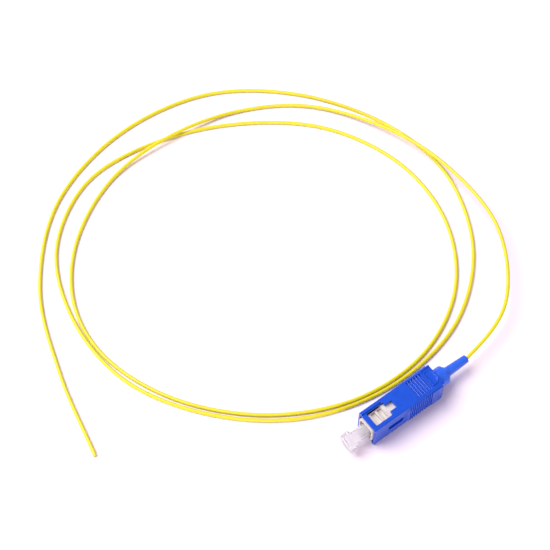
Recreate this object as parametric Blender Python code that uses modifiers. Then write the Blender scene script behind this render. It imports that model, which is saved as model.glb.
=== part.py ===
# Fibre optic pigtail: a push-pull plug with a 2.5 mm ferrule on one metre of 0.9 mm buffered fibre.
# Lengths are in metres. The plug lies along X with its ferrule towards -X, on one of its narrow faces.
# Places along the plug are counted from the front edge of its sliding sleeve, and heights from its axis.
import math

import bmesh
import bpy
from mathutils import Matrix, Vector

mm = 0.001

# Clearances
gap = 0.3 * mm
slide_gap = 0.3 * mm
edge_break = 0.1 * mm

# Sliding sleeve
sleeve_length = 25.0 * mm
sleeve_width = 7.4 * mm
sleeve_height = 9.0 * mm
sleeve_corner = 0.5 * mm
side_wall = 0.6 * mm
top_wall = 0.9 * mm
grip_length = 13.6 * mm
grip_end_margin = 0.5 * mm
grip_rise = 0.35 * mm
grip_edge = 0.6 * mm
grip_edge_slope = 0.25 * mm
grip_ramp = 0.7 * mm
grip_bore_relief = 0.1 * mm
rib_count = 11
rib_lead = 0.8 * mm
rib_pitch = 0.78 * mm
rib_cut = 0.36 * mm
rib_floor = 0.08 * mm
window_start = 1.5 * mm
window_wide_length = 5.7 * mm
window_wide_width = 4.6 * mm
window_narrow_length = 2.3 * mm
window_narrow_width = 2.5 * mm
channel_depth = 0.45 * mm
slot_length = 5.4 * mm
slot_width = 1.4 * mm
slot_floor = 0.22 * mm
slot_end_gap = 0.5 * mm
key_length = 9.4 * mm
key_width = 2.4 * mm
key_rise = 1.0 * mm
key_end_gap = 0.5 * mm
key_round = 0.2 * mm
pad_length = 2.3 * mm
pad_width = 4.6 * mm
pad_corner = 1.0 * mm
pad_step = 0.22 * mm
pad_rear_step = 0.8 * mm
pad_side_step = 0.7 * mm
groove_count = 6
groove_pitch = 0.92 * mm
groove_width = 0.42 * mm
groove_depth = 0.25 * mm
groove_span = 5.7 * mm
groove_end_gap = 1.08 * mm

# Plug frame inside the sleeve
frame_lead = 0.4 * mm
frame_length = 16.9 * mm
nose_length = 6.6 * mm
nose_drop = 0.45 * mm
frame_side_relief = 0.05 * mm
frame_corner = 0.55 * mm
frame_overlap = 0.4 * mm
pocket_start = 2.7 * mm
pocket_width = 3.2 * mm
pocket_depth = 0.4 * mm
ridge_start = 4.0 * mm
ridge_length = 0.7 * mm
ridge_rise = 0.15 * mm
shoulder_lead = 0.3 * mm
shoulder_thickness = 0.8 * mm

# Ferrule and what carries it
ferrule_radius = 1.25 * mm
ferrule_length = 10.5 * mm
ferrule_stand_out = 0.5 * mm
ferrule_chamfer = 0.4 * mm
ferrule_tip_radius = 0.9 * mm
ferrule_fit = 0.2 * mm
ferrule_travel = 1.0 * mm
flange_radius = 2.0 * mm
flange_back_wall = 0.3 * mm
flange_tube_radius = 1.1 * mm
flange_tube_length = 5.4 * mm
fibre_way = 0.2 * mm
spring_wire_radius = 0.16 * mm
spring_clearance = 0.34 * mm
spring_turns = 5
spring_points_per_turn = 12

# Stop ring that closes the frame
stop_plug_length = 2.0 * mm
stop_shoulder_length = 1.4 * mm
stop_shoulder_clearance = 0.45 * mm
stop_barrel_radius = 1.85 * mm
stop_bore_spare = 1.0 * mm

# Boot over the stop ring's barrel
boot_wall = 0.4 * mm
boot_sleeve_clearance = 0.35 * mm
boot_collar_length = 3.0 * mm
boot_collar_round = 0.4 * mm
boot_end_wall = 0.6 * mm
boot_neck_radius = 2.3 * mm
boot_neck_length = 1.2 * mm
boot_neck_round = 0.6 * mm
boot_tail_length = 7.3 * mm
boot_tail_start_radius = 1.36 * mm
boot_tail_end_radius = 1.13 * mm
boot_tip_round = 0.15 * mm
boot_fibre_gap = 0.1 * mm

# Dust cap over the ferrule
cap_length = 12.0 * mm
cap_end_gap = 1.4 * mm
cap_wall = 0.4 * mm
cap_fit = 0.2 * mm
cap_air = 2.3 * mm
cap_head_length = 2.5 * mm
cap_head_radius = 2.7 * mm
cap_head_round = 0.35 * mm

# Buffered fibre, which lies on the floor in nearly three loose turns
fibre_radius = 0.55 * mm
fibre_points = 80
round_steps = 32

# The fibre's route in millimetres: along and across from the plug's zero point, and the height over the floor
fibre_route = [
    (58.0, 6.8, 5.8),
    (73.4, 27.6, 6.0),
    (76.8, 53.8, 4.8),
    (72.5, 78.4, 2.5),
    (59.2, 101.4, 0.8),
    (38.8, 114.3, 0.7),
    (15.1, 118.3, 2.1),
    (-7.8, 116.5, 0.7),
    (-29.0, 104.2, 0.55),
    (-42.2, 85.9, 0.55),
    (-44.8, 64.3, 0.55),
    (-36.1, 41.0, 0.55),
    (-18.3, 21.6, 0.55),
    (5.1, 10.3, 0.55),
    (30.2, 10.1, 0.55),
    (52.0, 21.5, 0.55),
    (65.5, 42.4, 0.55),
    (67.6, 67.6, 0.55),
    (57.2, 92.3, 0.55),
    (35.9, 110.3, 0.55),
    (10.0, 120.2, 0.55),
    (-15.4, 120.0, 0.55),
    (-36.4, 104.6, 0.55),
    (-45.7, 79.9, 0.55),
    (-44.2, 54.0, 0.55),
    (-30.4, 30.6, 0.55),
    (-9.2, 13.9, 0.55),
    (17.0, 7.4, 0.55),
    (44.2, 12.1, 0.55),
    (65.7, 29.2, 0.55),
    (77.0, 55.5, 0.55),
    (73.8, 82.3, 0.55),
    (58.6, 108.4, 0.55),
    (34.4, 126.2, 0.55),
    (3.4, 129.7, 0.55),
    (-26.4, 119.3, 0.55),
    (-47.5, 96.4, 0.55),
    (-58.2, 68.6, 0.55),
    (-64.3, 40.7, 0.55),
]

# Sleeve places and sizes that follow from the ones above
half_width = sleeve_width / 2
half_height = sleeve_height / 2
bore_half_width = half_width - side_wall
grip_bore_half_width = bore_half_width + grip_bore_relief
bore_half_height = half_height - top_wall
grip_half_width = half_width + grip_rise
grip_half_height = half_height - grip_edge
grip_end = sleeve_length - grip_end_margin
grip_start = grip_end - grip_length
rib_start = grip_start + grip_ramp + rib_lead
key_top = half_width + key_rise
key_start = grip_start - key_end_gap - key_length
slot_start = grip_start - slot_end_gap - slot_length
slot_depth = side_wall - slot_floor
window_end = window_start + window_wide_length
pad_start = sleeve_length - pad_rear_step - pad_length
groove_start = pad_start - groove_end_gap - (groove_count - 1) * groove_pitch - groove_width

# Frame and ferrule places and sizes
frame_front = -frame_lead
frame_rear = frame_front + frame_length
frame_step = frame_front + nose_length
frame_half_width = bore_half_width - slide_gap
frame_half_height = bore_half_height - slide_gap
nose_half_height = frame_half_height - nose_drop
shoulder_start = frame_step - shoulder_lead
shoulder_end = shoulder_start + shoulder_thickness
ferrule_front = frame_front - ferrule_stand_out
ferrule_back = ferrule_front + ferrule_length
flange_front = shoulder_end + gap
flange_seat_radius = ferrule_radius + ferrule_fit
flange_seat_end = ferrule_back + gap
flange_back = flange_seat_end + flange_back_wall
flange_tube_end = flange_back + flange_tube_length
flange_tube_bore = fibre_radius + fibre_way
rear_bore_radius = flange_radius + gap
stop_front = frame_rear - stop_plug_length
spring_radius = flange_tube_radius + spring_clearance + spring_wire_radius
spring_front = flange_back + gap
spring_back = stop_front - gap

# Stop ring, boot and cap places and sizes
stop_plug_radius = rear_bore_radius - gap
stop_shoulder_radius = grip_bore_half_width - stop_shoulder_clearance
stop_shoulder_start = frame_rear + gap
stop_shoulder_end = stop_shoulder_start + stop_shoulder_length
stop_bore_radius = flange_tube_radius + gap
stop_bore_end = flange_tube_end + ferrule_travel + stop_bore_spare
stop_small_bore = fibre_radius + fibre_way
boot_front = stop_shoulder_end + gap
boot_bore_radius = stop_barrel_radius + gap
boot_body_radius = boot_bore_radius + boot_wall
boot_collar_radius = grip_bore_half_width - boot_sleeve_clearance
boot_collar_start = sleeve_length + gap
boot_collar_end = boot_collar_start + boot_collar_length
boot_bore_end = boot_collar_end - boot_end_wall
boot_neck_end = boot_collar_end + boot_neck_length
boot_tip = boot_neck_end + boot_tail_length
stop_barrel_end = boot_bore_end - gap
cap_bore_radius = ferrule_radius + cap_fit
cap_radius = cap_bore_radius + cap_wall
cap_back = shoulder_start - cap_end_gap
cap_front = cap_back - cap_length
cap_head_back = cap_front + cap_head_length
cap_bore_front = ferrule_front - cap_air
nose_bore_radius = cap_radius + gap
plug_zero = Vector((-(cap_front + boot_tip) / 2, (grip_half_width - key_top) / 2, half_height))


def clear_scene():
    for item in list(bpy.data.objects):
        bpy.data.objects.remove(item, do_unlink=True)


def new_collection(name):
    group = bpy.data.collections.new(name)
    bpy.context.scene.collection.children.link(group)
    return group


def make_material(name, colour, roughness, metallic=0.0, alpha=1.0):
    material = bpy.data.materials.new(name)
    material.use_nodes = True
    shader = material.node_tree.nodes["Principled BSDF"]
    shader.inputs["Base Color"].default_value = (*colour, 1.0)
    shader.inputs["Roughness"].default_value = roughness
    shader.inputs["Metallic"].default_value = metallic
    shader.inputs["Alpha"].default_value = alpha
    return material


def add_object(name, mesh, group, material=None):
    item = bpy.data.objects.new(name, mesh)
    group.objects.link(item)
    item.parent = plug_origin
    if material:
        mesh.materials.append(material)
    return item


def finished_mesh(name, build):
    mesh = bpy.data.meshes.new(name)
    build.to_mesh(mesh)
    build.free()
    return mesh


def box_mesh(name, x_span, y_span, z_span, corner=0.0, corner_steps=3):
    """A box between the given limits, with its four edges along X rounded by the corner radius."""
    build = bmesh.new()
    bmesh.ops.create_cube(build, size=1.0)
    size = Vector([high - low for low, high in (x_span, y_span, z_span)])
    middle = Vector([(low + high) / 2 for low, high in (x_span, y_span, z_span)])
    bmesh.ops.scale(build, vec=size, verts=build.verts)
    bmesh.ops.translate(build, vec=middle, verts=build.verts)
    if corner:
        along = [edge for edge in build.edges if abs((edge.verts[0].co - edge.verts[1].co).x) > size.x / 2]
        bmesh.ops.bevel(
            build, geom=along, offset=corner, segments=corner_steps, profile=0.5, affect="EDGES"
        )
    return finished_mesh(name, build)


def cylinder_mesh(name, x_span, radius):
    build = bmesh.new()
    turn = Matrix.Rotation(math.radians(90), 4, "Y")
    place = Matrix.Translation((sum(x_span) / 2, 0, 0))
    bmesh.ops.create_cone(
        build,
        cap_ends=True,
        segments=round_steps,
        radius1=radius,
        radius2=radius,
        depth=x_span[1] - x_span[0],
        matrix=place @ turn,
    )
    return finished_mesh(name, build)


def combine(item, name, mesh, operation):
    other = add_object(name, mesh, cutters)
    other.hide_render = True
    other.display_type = "WIRE"
    step = item.modifiers.new(name, "BOOLEAN")
    step.operation = operation
    step.object = other


def cut(item, name, x_span, y_span, z_span):
    combine(item, name, box_mesh(name, x_span, y_span, z_span), "DIFFERENCE")


def bore(item, name, x_span, radius):
    combine(item, name, cylinder_mesh(name, x_span, radius), "DIFFERENCE")


def smooth_round(item, angle=35):
    item.data.shade_smooth()
    item.data.set_sharp_from_angle(angle=math.radians(angle))


def turned(name, profile, material):
    """A profile of (place along the plug, radius) turned about the plug's axis.

    It starts inside and runs backwards along the outside, and it closes on itself unless it meets the axis.
    """
    build = bmesh.new()
    verts = [build.verts.new((radius, 0.0, -place)) for place, radius in profile]
    if min(radius for _, radius in profile) > 0:
        verts.append(verts[0])
    for first, second in zip(verts, verts[1:]):
        build.edges.new((first, second))
    item = add_object(name, finished_mesh(name, build), parts, material)
    item.rotation_euler = (0.0, math.radians(-90), 0.0)
    screw = item.modifiers.new("turn", "SCREW")
    screw.axis = "Z"
    screw.steps = round_steps
    screw.render_steps = round_steps
    screw.use_merge_vertices = True
    screw.merge_threshold = 0.00001
    screw.use_smooth_shade = True
    smooth_round(item)
    return item


def arc_points(centre, radius, start, end, steps=4):
    """Points on an arc, in degrees from the plug's +X direction towards larger radii."""
    angles = [math.radians(start + (end - start) * step / steps) for step in range(steps + 1)]
    return [(centre[0] + radius * math.cos(a), centre[1] + radius * math.sin(a)) for a in angles]


def smooth_route(points, steps):
    """A smooth curve through the points that starts along +X."""
    reach = (points[1] - points[0]).length
    before = points[0] - Vector((reach, 0, 0))
    after = points[-1] * 2 - points[-2]
    spaced = [before, *points, after]
    curve = []
    for a, b, c, d in zip(spaced, spaced[1:], spaced[2:], spaced[3:]):
        for step in range(steps):
            t = step / steps
            bent = 2 * b + (c - a) * t + (2 * a - 5 * b + 4 * c - d) * t**2 + (3 * b - a - 3 * c + d) * t**3
            curve.append(bent / 2)
    curve.append(points[-1])
    return curve


def evenly(curve, count):
    """That many points at equal distances along a curve of many short steps."""
    lengths = [0.0]
    for first, second in zip(curve, curve[1:]):
        lengths.append(lengths[-1] + (second - first).length)
    spots = []
    at = 0
    for number in range(count):
        wanted = lengths[-1] * number / (count - 1)
        while at < len(curve) - 2 and lengths[at + 1] < wanted:
            at += 1
        share = (wanted - lengths[at]) / (lengths[at + 1] - lengths[at])
        spots.append(curve[at].lerp(curve[at + 1], min(share, 1.0)))
    return spots


def tube(name, points, radius, material, resolution):
    """A round tube with closed ends through the points."""
    data = bpy.data.curves.new(name, "CURVE")
    data.dimensions = "3D"
    data.bevel_depth = radius
    data.bevel_resolution = resolution
    data.use_fill_caps = True
    data.materials.append(material)
    line = data.splines.new("POLY")
    line.points.add(len(points) - 1)
    for spot, point in zip(line.points, points):
        spot.co = (*point, 1.0)
    item = bpy.data.objects.new(name, data)
    parts.objects.link(item)
    return item


def coupling_sleeve():
    """The blue sliding sleeve: a rectangular tube with latch windows, a key, side grips and thumb pads."""
    shell = box_mesh(
        "coupling_sleeve", (0, sleeve_length), (-half_width, half_width), (-half_height, half_height), sleeve_corner
    )
    item = add_object("coupling_sleeve", shell, parts, blue_plastic)
    for side in (-1, 1):
        combine(item, f"grip_{side}", grip_mesh(f"grip_{side}", side), "UNION")
        rib_span = sorted((side * (half_width + rib_floor), side * (grip_half_width + gap)))
        for number in range(rib_count):
            start = rib_start + number * rib_pitch
            cut(item, f"rib_{side}_{number}", (start, start + rib_cut), rib_span, (-half_height, half_height))
    key = box_mesh(
        "key",
        (key_start, key_start + key_length),
        (half_width - side_wall / 2, key_top),
        (-key_width / 2, key_width / 2),
        key_round,
        2,
    )
    combine(item, "key", key, "UNION")
    cut(
        item,
        "slot",
        (slot_start, slot_start + slot_length),
        (-half_width - gap, -half_width + slot_depth),
        (-slot_width / 2, slot_width / 2),
    )
    cut(
        item,
        "front_bore",
        (-gap, grip_start + 2 * gap),
        (-bore_half_width, bore_half_width),
        (-bore_half_height, bore_half_height),
    )
    cut(
        item,
        "rear_bore",
        (grip_start + gap, sleeve_length + gap),
        (-grip_bore_half_width, grip_bore_half_width),
        (-bore_half_height, bore_half_height),
    )
    for side in (-1, 1):
        narrow_face(item, side)
    return item


def grip_mesh(name, side):
    """One raised side grip, whose front ramps up from the sleeve's side and whose long edges slope."""
    inner = half_width - side_wall / 2
    mesh = box_mesh(
        name,
        (grip_start, grip_end),
        sorted((side * inner, side * grip_half_width)),
        (-grip_half_height, grip_half_height),
    )
    for vert in mesh.vertices:
        if abs(vert.co.y) > half_width:
            vert.co.z -= math.copysign(grip_edge_slope, vert.co.z)
            if vert.co.x < (grip_start + grip_end) / 2:
                vert.co.x += grip_ramp
    return mesh


def narrow_face(item, side):
    """Latch window, lead-in channel, thumb grooves and thumb pad on the top or the bottom face."""
    label = "top" if side > 0 else "bottom"
    through = sorted((side * (bore_half_height - gap), side * (half_height + gap)))
    cut(
        item,
        f"window_wide_{label}",
        (window_start, window_end),
        (-window_wide_width / 2, window_wide_width / 2),
        through,
    )
    cut(
        item,
        f"window_narrow_{label}",
        (window_end - gap, window_end + window_narrow_length),
        (-window_narrow_width / 2, window_narrow_width / 2),
        through,
    )
    cut(
        item,
        f"channel_{label}",
        (-gap, window_start + gap),
        (-window_wide_width / 2, window_wide_width / 2),
        sorted((side * (half_height - channel_depth), side * (half_height + gap))),
    )
    for number in range(groove_count):
        start = groove_start + number * groove_pitch
        cut(
            item,
            f"groove_{label}_{number}",
            (start, start + groove_width),
            (-groove_span / 2, groove_span / 2),
            sorted((side * (half_height - groove_depth), side * (half_height + gap))),
        )
    combine(item, f"pad_field_{label}", pad_field_mesh(label, side), "DIFFERENCE")


def pad_field_mesh(label, side):
    """The lowered U-shaped field round the thumb pad, drawn as a flat outline and given its depth."""
    half = pad_width / 2
    pad_end = pad_start + pad_length
    corner = arc_points((pad_end - pad_corner, half - pad_corner), pad_corner, 90, 0)
    pad_side = [(pad_start, half), *corner]
    outline = pad_side + [(x, -y) for x, y in reversed(pad_side)]
    field_half = half + pad_side_step
    field_end = sleeve_length + gap
    outline += [(pad_start, -field_half), (field_end, -field_half), (field_end, field_half), (pad_start, field_half)]
    flat = bpy.data.curves.new(f"pad_outline_{label}", "CURVE")
    flat.dimensions = "2D"
    flat.fill_mode = "BOTH"
    flat.extrude = pad_step
    line = flat.splines.new("POLY")
    line.points.add(len(outline) - 1)
    line.use_cyclic_u = True
    for spot, (x, y) in zip(line.points, outline):
        spot.co = (x, y, 0.0, 1.0)
    drawn = bpy.data.objects.new(f"pad_outline_{label}", flat)
    cutters.objects.link(drawn)
    bpy.context.view_layer.update()
    solid = drawn.evaluated_get(bpy.context.evaluated_depsgraph_get())
    build = bmesh.new()
    build.from_mesh(bpy.data.meshes.new_from_object(solid))
    bpy.data.objects.remove(drawn)
    bmesh.ops.remove_doubles(build, verts=build.verts, dist=0.000001)
    bmesh.ops.translate(build, vec=(0, 0, side * half_height), verts=build.verts)
    bmesh.ops.recalc_face_normals(build, faces=build.faces)
    return finished_mesh(f"pad_field_{label}", build)


def plug_frame():
    """The white frame that holds the ferrule, with latch pockets and ridges under the sleeve's windows."""
    nose = box_mesh(
        "plug_frame",
        (frame_front, frame_step + frame_overlap),
        (-frame_half_width, frame_half_width),
        (-nose_half_height, nose_half_height),
        frame_corner,
    )
    item = add_object("plug_frame", nose, parts, white_plastic)
    body_half_width = frame_half_width - frame_side_relief
    body = box_mesh(
        "frame_body",
        (frame_step, frame_rear),
        (-body_half_width, body_half_width),
        (-frame_half_height, frame_half_height),
        frame_corner,
    )
    combine(item, "frame_body", body, "UNION")
    floor = nose_half_height - pocket_depth
    for side in (-1, 1):
        label = "top" if side > 0 else "bottom"
        cut(
            item,
            f"pocket_{label}",
            (pocket_start, frame_step - edge_break),
            (-pocket_width / 2, pocket_width / 2),
            sorted((side * floor, side * (nose_half_height + gap))),
        )
        ridge = box_mesh(
            f"ridge_{label}",
            (ridge_start, ridge_start + ridge_length),
            (-pocket_width / 2 - edge_break, pocket_width / 2 + edge_break),
            sorted((side * (floor - edge_break), side * (nose_half_height + ridge_rise))),
        )
        combine(item, f"ridge_{label}", ridge, "UNION")
    bore(item, "nose_bore", (frame_front - gap, shoulder_start), nose_bore_radius)
    bore(item, "shoulder_bore", (shoulder_start - gap, shoulder_end + gap), ferrule_radius + gap)
    bore(item, "frame_rear_bore", (shoulder_end, frame_rear + gap), rear_bore_radius)
    return item


def ferrule():
    """The ceramic ferrule, with its chamfered polished end towards the front."""
    profile = [
        (ferrule_front, 0.0),
        (ferrule_front, ferrule_tip_radius),
        (ferrule_front + ferrule_chamfer, ferrule_radius),
        (ferrule_back - edge_break, ferrule_radius),
        (ferrule_back, ferrule_radius - edge_break),
        (ferrule_back, 0.0),
    ]
    return turned("ferrule", profile, ceramic)


def ferrule_flange():
    """The metal flange behind the ferrule, with the tube that the fibre comes in through."""
    profile = [
        (flange_front, flange_seat_radius),
        (flange_front, flange_radius - edge_break),
        (flange_front + edge_break, flange_radius),
        (flange_back, flange_radius),
        (flange_back, flange_tube_radius),
        (flange_tube_end, flange_tube_radius),
        (flange_tube_end, flange_tube_bore),
        (flange_seat_end, flange_tube_bore),
        (flange_seat_end, flange_seat_radius),
    ]
    return turned("ferrule_flange", profile, nickel)


def compression_spring():
    """The spring that keeps the ferrule forward: an open helix round the flange's tube."""
    count = spring_turns * spring_points_per_turn
    start = spring_front + spring_wire_radius
    advance = (spring_back - spring_wire_radius - start) / count
    points = []
    for number in range(count + 1):
        angle = 2 * math.pi * number / spring_points_per_turn
        around = (spring_radius * math.cos(angle), spring_radius * math.sin(angle))
        points.append(plug_zero + Vector((start + advance * number, *around)))
    return tube("compression_spring", points, spring_wire_radius, spring_steel, 1)


def stop_ring():
    """The ring that closes the frame's rear, with the barrel that the boot sits on."""
    profile = [
        (stop_front, stop_bore_radius),
        (stop_front, stop_plug_radius),
        (stop_shoulder_start, stop_plug_radius),
        (stop_shoulder_start, stop_shoulder_radius),
        (stop_shoulder_end, stop_shoulder_radius),
        (stop_shoulder_end, stop_barrel_radius),
        (stop_barrel_end, stop_barrel_radius),
        (stop_barrel_end, stop_small_bore),
        (stop_bore_end, stop_small_bore),
        (stop_bore_end, stop_bore_radius),
    ]
    return turned("stop_ring", profile, nickel)


def boot():
    """The short blue boot: a collar, a rounded neck and a thin tapering tail."""
    fibre_hole = fibre_radius + boot_fibre_gap
    collar_arc = (boot_collar_end - boot_collar_round, boot_collar_radius - boot_collar_round)
    neck_arc = (boot_neck_end - boot_neck_round, boot_neck_radius - boot_neck_round)
    tip_arc = (boot_tip - boot_tip_round, boot_tail_end_radius - boot_tip_round)
    profile = [
        (boot_front, boot_bore_radius),
        (boot_front, boot_body_radius),
        (boot_collar_start, boot_body_radius),
        (boot_collar_start, boot_collar_radius),
        *arc_points(collar_arc, boot_collar_round, 90, 0),
        (boot_collar_end, boot_neck_radius),
        *arc_points(neck_arc, boot_neck_round, 90, 0),
        (boot_neck_end, boot_tail_start_radius),
        *arc_points(tip_arc, boot_tip_round, 90, 0, 2),
        (boot_tip, fibre_hole),
        (boot_bore_end, fibre_hole),
        (boot_bore_end, boot_bore_radius),
    ]
    return turned("boot", profile, blue_rubber)


def dust_cap():
    """The clear dust cap: a tube over the ferrule with a closed head."""
    front_arc = (cap_front + cap_head_round, cap_head_radius - cap_head_round)
    profile = [
        (cap_front, 0.0),
        *arc_points(front_arc, cap_head_round, 180, 90),
        (cap_head_back, cap_head_radius),
        (cap_head_back, cap_radius),
        (cap_back, cap_radius),
        (cap_back, cap_bore_radius),
        (cap_bore_front, cap_bore_radius),
        (cap_bore_front, 0.0),
    ]
    return turned("dust_cap", profile, clear_plastic)


def fibre():
    """The yellow buffered fibre from the boot's tip to its cut end."""
    points = [plug_zero + Vector((boot_tip + gap, 0, 0))]
    for along, across, height in fibre_route:
        points.append(Vector((plug_zero.x + along * mm, plug_zero.y + across * mm, height * mm)))
    curve = smooth_route(points, 24)
    for point in curve:
        point.z = max(point.z, fibre_radius)
    return tube("fibre", evenly(curve, fibre_points), fibre_radius, yellow_buffer, 2)


clear_scene()
parts = new_collection("fibre_pigtail")
cutters = new_collection("cutters")
cutters.hide_render = True
plug_origin = bpy.data.objects.new("plug_origin", None)
plug_origin.location = plug_zero
bpy.context.scene.collection.objects.link(plug_origin)

blue_plastic = make_material("blue_plastic", (0.01, 0.07, 0.62), 0.25)
blue_rubber = make_material("blue_rubber", (0.02, 0.1, 0.62), 0.45)
white_plastic = make_material("white_plastic", (0.85, 0.83, 0.78), 0.35)
clear_plastic = make_material("clear_plastic", (0.93, 0.92, 0.93), 0.15, alpha=0.35)
ceramic = make_material("ceramic", (0.88, 0.87, 0.83), 0.12)
nickel = make_material("nickel", (0.66, 0.64, 0.6), 0.3, metallic=1.0)
spring_steel = make_material("spring_steel", (0.55, 0.55, 0.56), 0.3, metallic=1.0)
yellow_buffer = make_material("yellow_buffer", (0.9, 0.74, 0.02), 0.4)

coupling_sleeve()
plug_frame()
ferrule()
ferrule_flange()
compression_spring()
stop_ring()
boot()
dust_cap()
fibre()
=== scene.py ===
# Fibre optic pigtail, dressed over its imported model.
# A mesh is drawn in millimetres along the plug: x from the sleeve's front edge, y and z from the plug's axis.
# It is then put in its place in the frame, in metres.
import math

import bmesh
import bpy
from mathutils import Matrix, Vector


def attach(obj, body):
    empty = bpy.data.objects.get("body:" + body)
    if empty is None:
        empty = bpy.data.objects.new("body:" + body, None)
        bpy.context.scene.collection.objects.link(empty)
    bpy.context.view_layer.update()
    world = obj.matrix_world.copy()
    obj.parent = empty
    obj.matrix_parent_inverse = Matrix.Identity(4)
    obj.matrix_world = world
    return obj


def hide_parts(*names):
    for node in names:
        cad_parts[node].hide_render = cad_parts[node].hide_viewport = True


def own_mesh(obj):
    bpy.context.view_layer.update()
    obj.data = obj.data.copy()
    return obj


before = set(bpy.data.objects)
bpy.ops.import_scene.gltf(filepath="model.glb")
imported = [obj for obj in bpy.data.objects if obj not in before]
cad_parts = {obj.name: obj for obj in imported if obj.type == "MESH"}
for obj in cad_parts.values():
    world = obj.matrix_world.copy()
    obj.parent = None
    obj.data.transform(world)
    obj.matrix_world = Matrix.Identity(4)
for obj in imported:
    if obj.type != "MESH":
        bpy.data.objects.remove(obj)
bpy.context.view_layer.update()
scene = bpy.context.scene
mm = 0.001  # a drawn millimetre in the frame's metres
plugZero = Vector((-14.65, -0.325, 4.5))  # the sleeve's front edge on the axis, in millimetres of the frame
print("frame loaded")


# Camera, at the photograph's angle
cameraView = {
    "location": (-0.13525, -0.1175, 0.3610),
    "aim": (-0.00306, 0.0574, 0.0),
    "lens": 91.64,
}


def makeCamera(view):
    data = bpy.data.cameras.new("photoCamera")
    data.lens = view["lens"]
    data.sensor_width = 36.0
    data.clip_start = 0.01
    data.clip_end = 10.0
    camera = bpy.data.objects.new("photoCamera", data)
    scene.collection.objects.link(camera)
    camera.location = view["location"]
    aim = Vector(view["aim"]) - Vector(view["location"])
    camera.rotation_euler = aim.to_track_quat("-Z", "Y").to_euler()
    scene.camera = camera


makeCamera(cameraView)
print("camera placed")


# Small helpers for node trees
def addNode(tree, kind, place=(0, 0), **settings):
    node = tree.nodes.new(kind)
    node.location = place
    for name, value in settings.items():
        setattr(node, name, value)
    return node


def join(tree, source, target):
    tree.links.new(source, target)


def setInputs(node, values):
    for name, value in values.items():
        node.inputs[name].default_value = value


def newGroup(name, kind, sockets):
    tree = bpy.data.node_groups.new(name, kind)
    for label, direction, socketKind, value in sockets:
        socket = tree.interface.new_socket(name=label, in_out=direction, socket_type=socketKind)
        if value is not None:
            socket.default_value = value
    return tree, addNode(tree, "NodeGroupInput", (-700, 0)), addNode(tree, "NodeGroupOutput", (700, 0))


# Shader groups that several materials share
def makeMouldGrain():
    # fine grain of a moulded face: a soft mottle and a small height, both from Object coordinates
    tree, given, result = newGroup(
        "mouldGrain",
        "ShaderNodeTree",
        [
            ("Scale", "INPUT", "NodeSocketFloat", 900.0),
            ("Base", "INPUT", "NodeSocketColor", (0.5, 0.5, 0.5, 1.0)),
            ("Shade", "INPUT", "NodeSocketColor", (0.4, 0.4, 0.4, 1.0)),
            ("Rough Low", "INPUT", "NodeSocketFloat", 0.2),
            ("Rough High", "INPUT", "NodeSocketFloat", 0.35),
            ("Color", "OUTPUT", "NodeSocketColor", None),
            ("Roughness", "OUTPUT", "NodeSocketFloat", None),
            ("Height", "OUTPUT", "NodeSocketFloat", None),
        ],
    )
    place = addNode(tree, "ShaderNodeTexCoord", (-900, 200))
    broad = addNode(tree, "ShaderNodeTexNoise", (-450, 250))
    setInputs(broad, {"Detail": 3.0})
    join(tree, place.outputs["Object"], broad.inputs["Vector"])
    fine = addNode(tree, "ShaderNodeTexNoise", (-450, -100))
    setInputs(fine, {"Detail": 2.0})
    finer = addNode(tree, "ShaderNodeMath", (-650, -200), operation="MULTIPLY")
    finer.inputs[1].default_value = 9.0  # the small height is this much finer than the mottle
    join(tree, given.outputs["Scale"], finer.inputs[0])
    join(tree, finer.outputs[0], fine.inputs["Scale"])
    join(tree, given.outputs["Scale"], broad.inputs["Scale"])
    join(tree, place.outputs["Object"], fine.inputs["Vector"])
    mottle = addNode(tree, "ShaderNodeMapRange", (-200, 300))
    setInputs(mottle, {"From Min": 0.35, "From Max": 0.7})
    join(tree, broad.outputs["Fac"], mottle.inputs["Value"])
    colour = addNode(tree, "ShaderNodeMix", (100, 300), data_type="RGBA")
    join(tree, mottle.outputs["Result"], colour.inputs["Factor"])
    join(tree, given.outputs["Base"], colour.inputs[6])
    join(tree, given.outputs["Shade"], colour.inputs[7])
    rough = addNode(tree, "ShaderNodeMapRange", (100, 0))
    join(tree, fine.outputs["Fac"], rough.inputs["Value"])
    join(tree, given.outputs["Rough Low"], rough.inputs["To Min"])
    join(tree, given.outputs["Rough High"], rough.inputs["To Max"])
    join(tree, colour.outputs[2], result.inputs["Color"])
    join(tree, rough.outputs["Result"], result.inputs["Roughness"])
    join(tree, fine.outputs["Fac"], result.inputs["Height"])
    return tree


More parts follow.
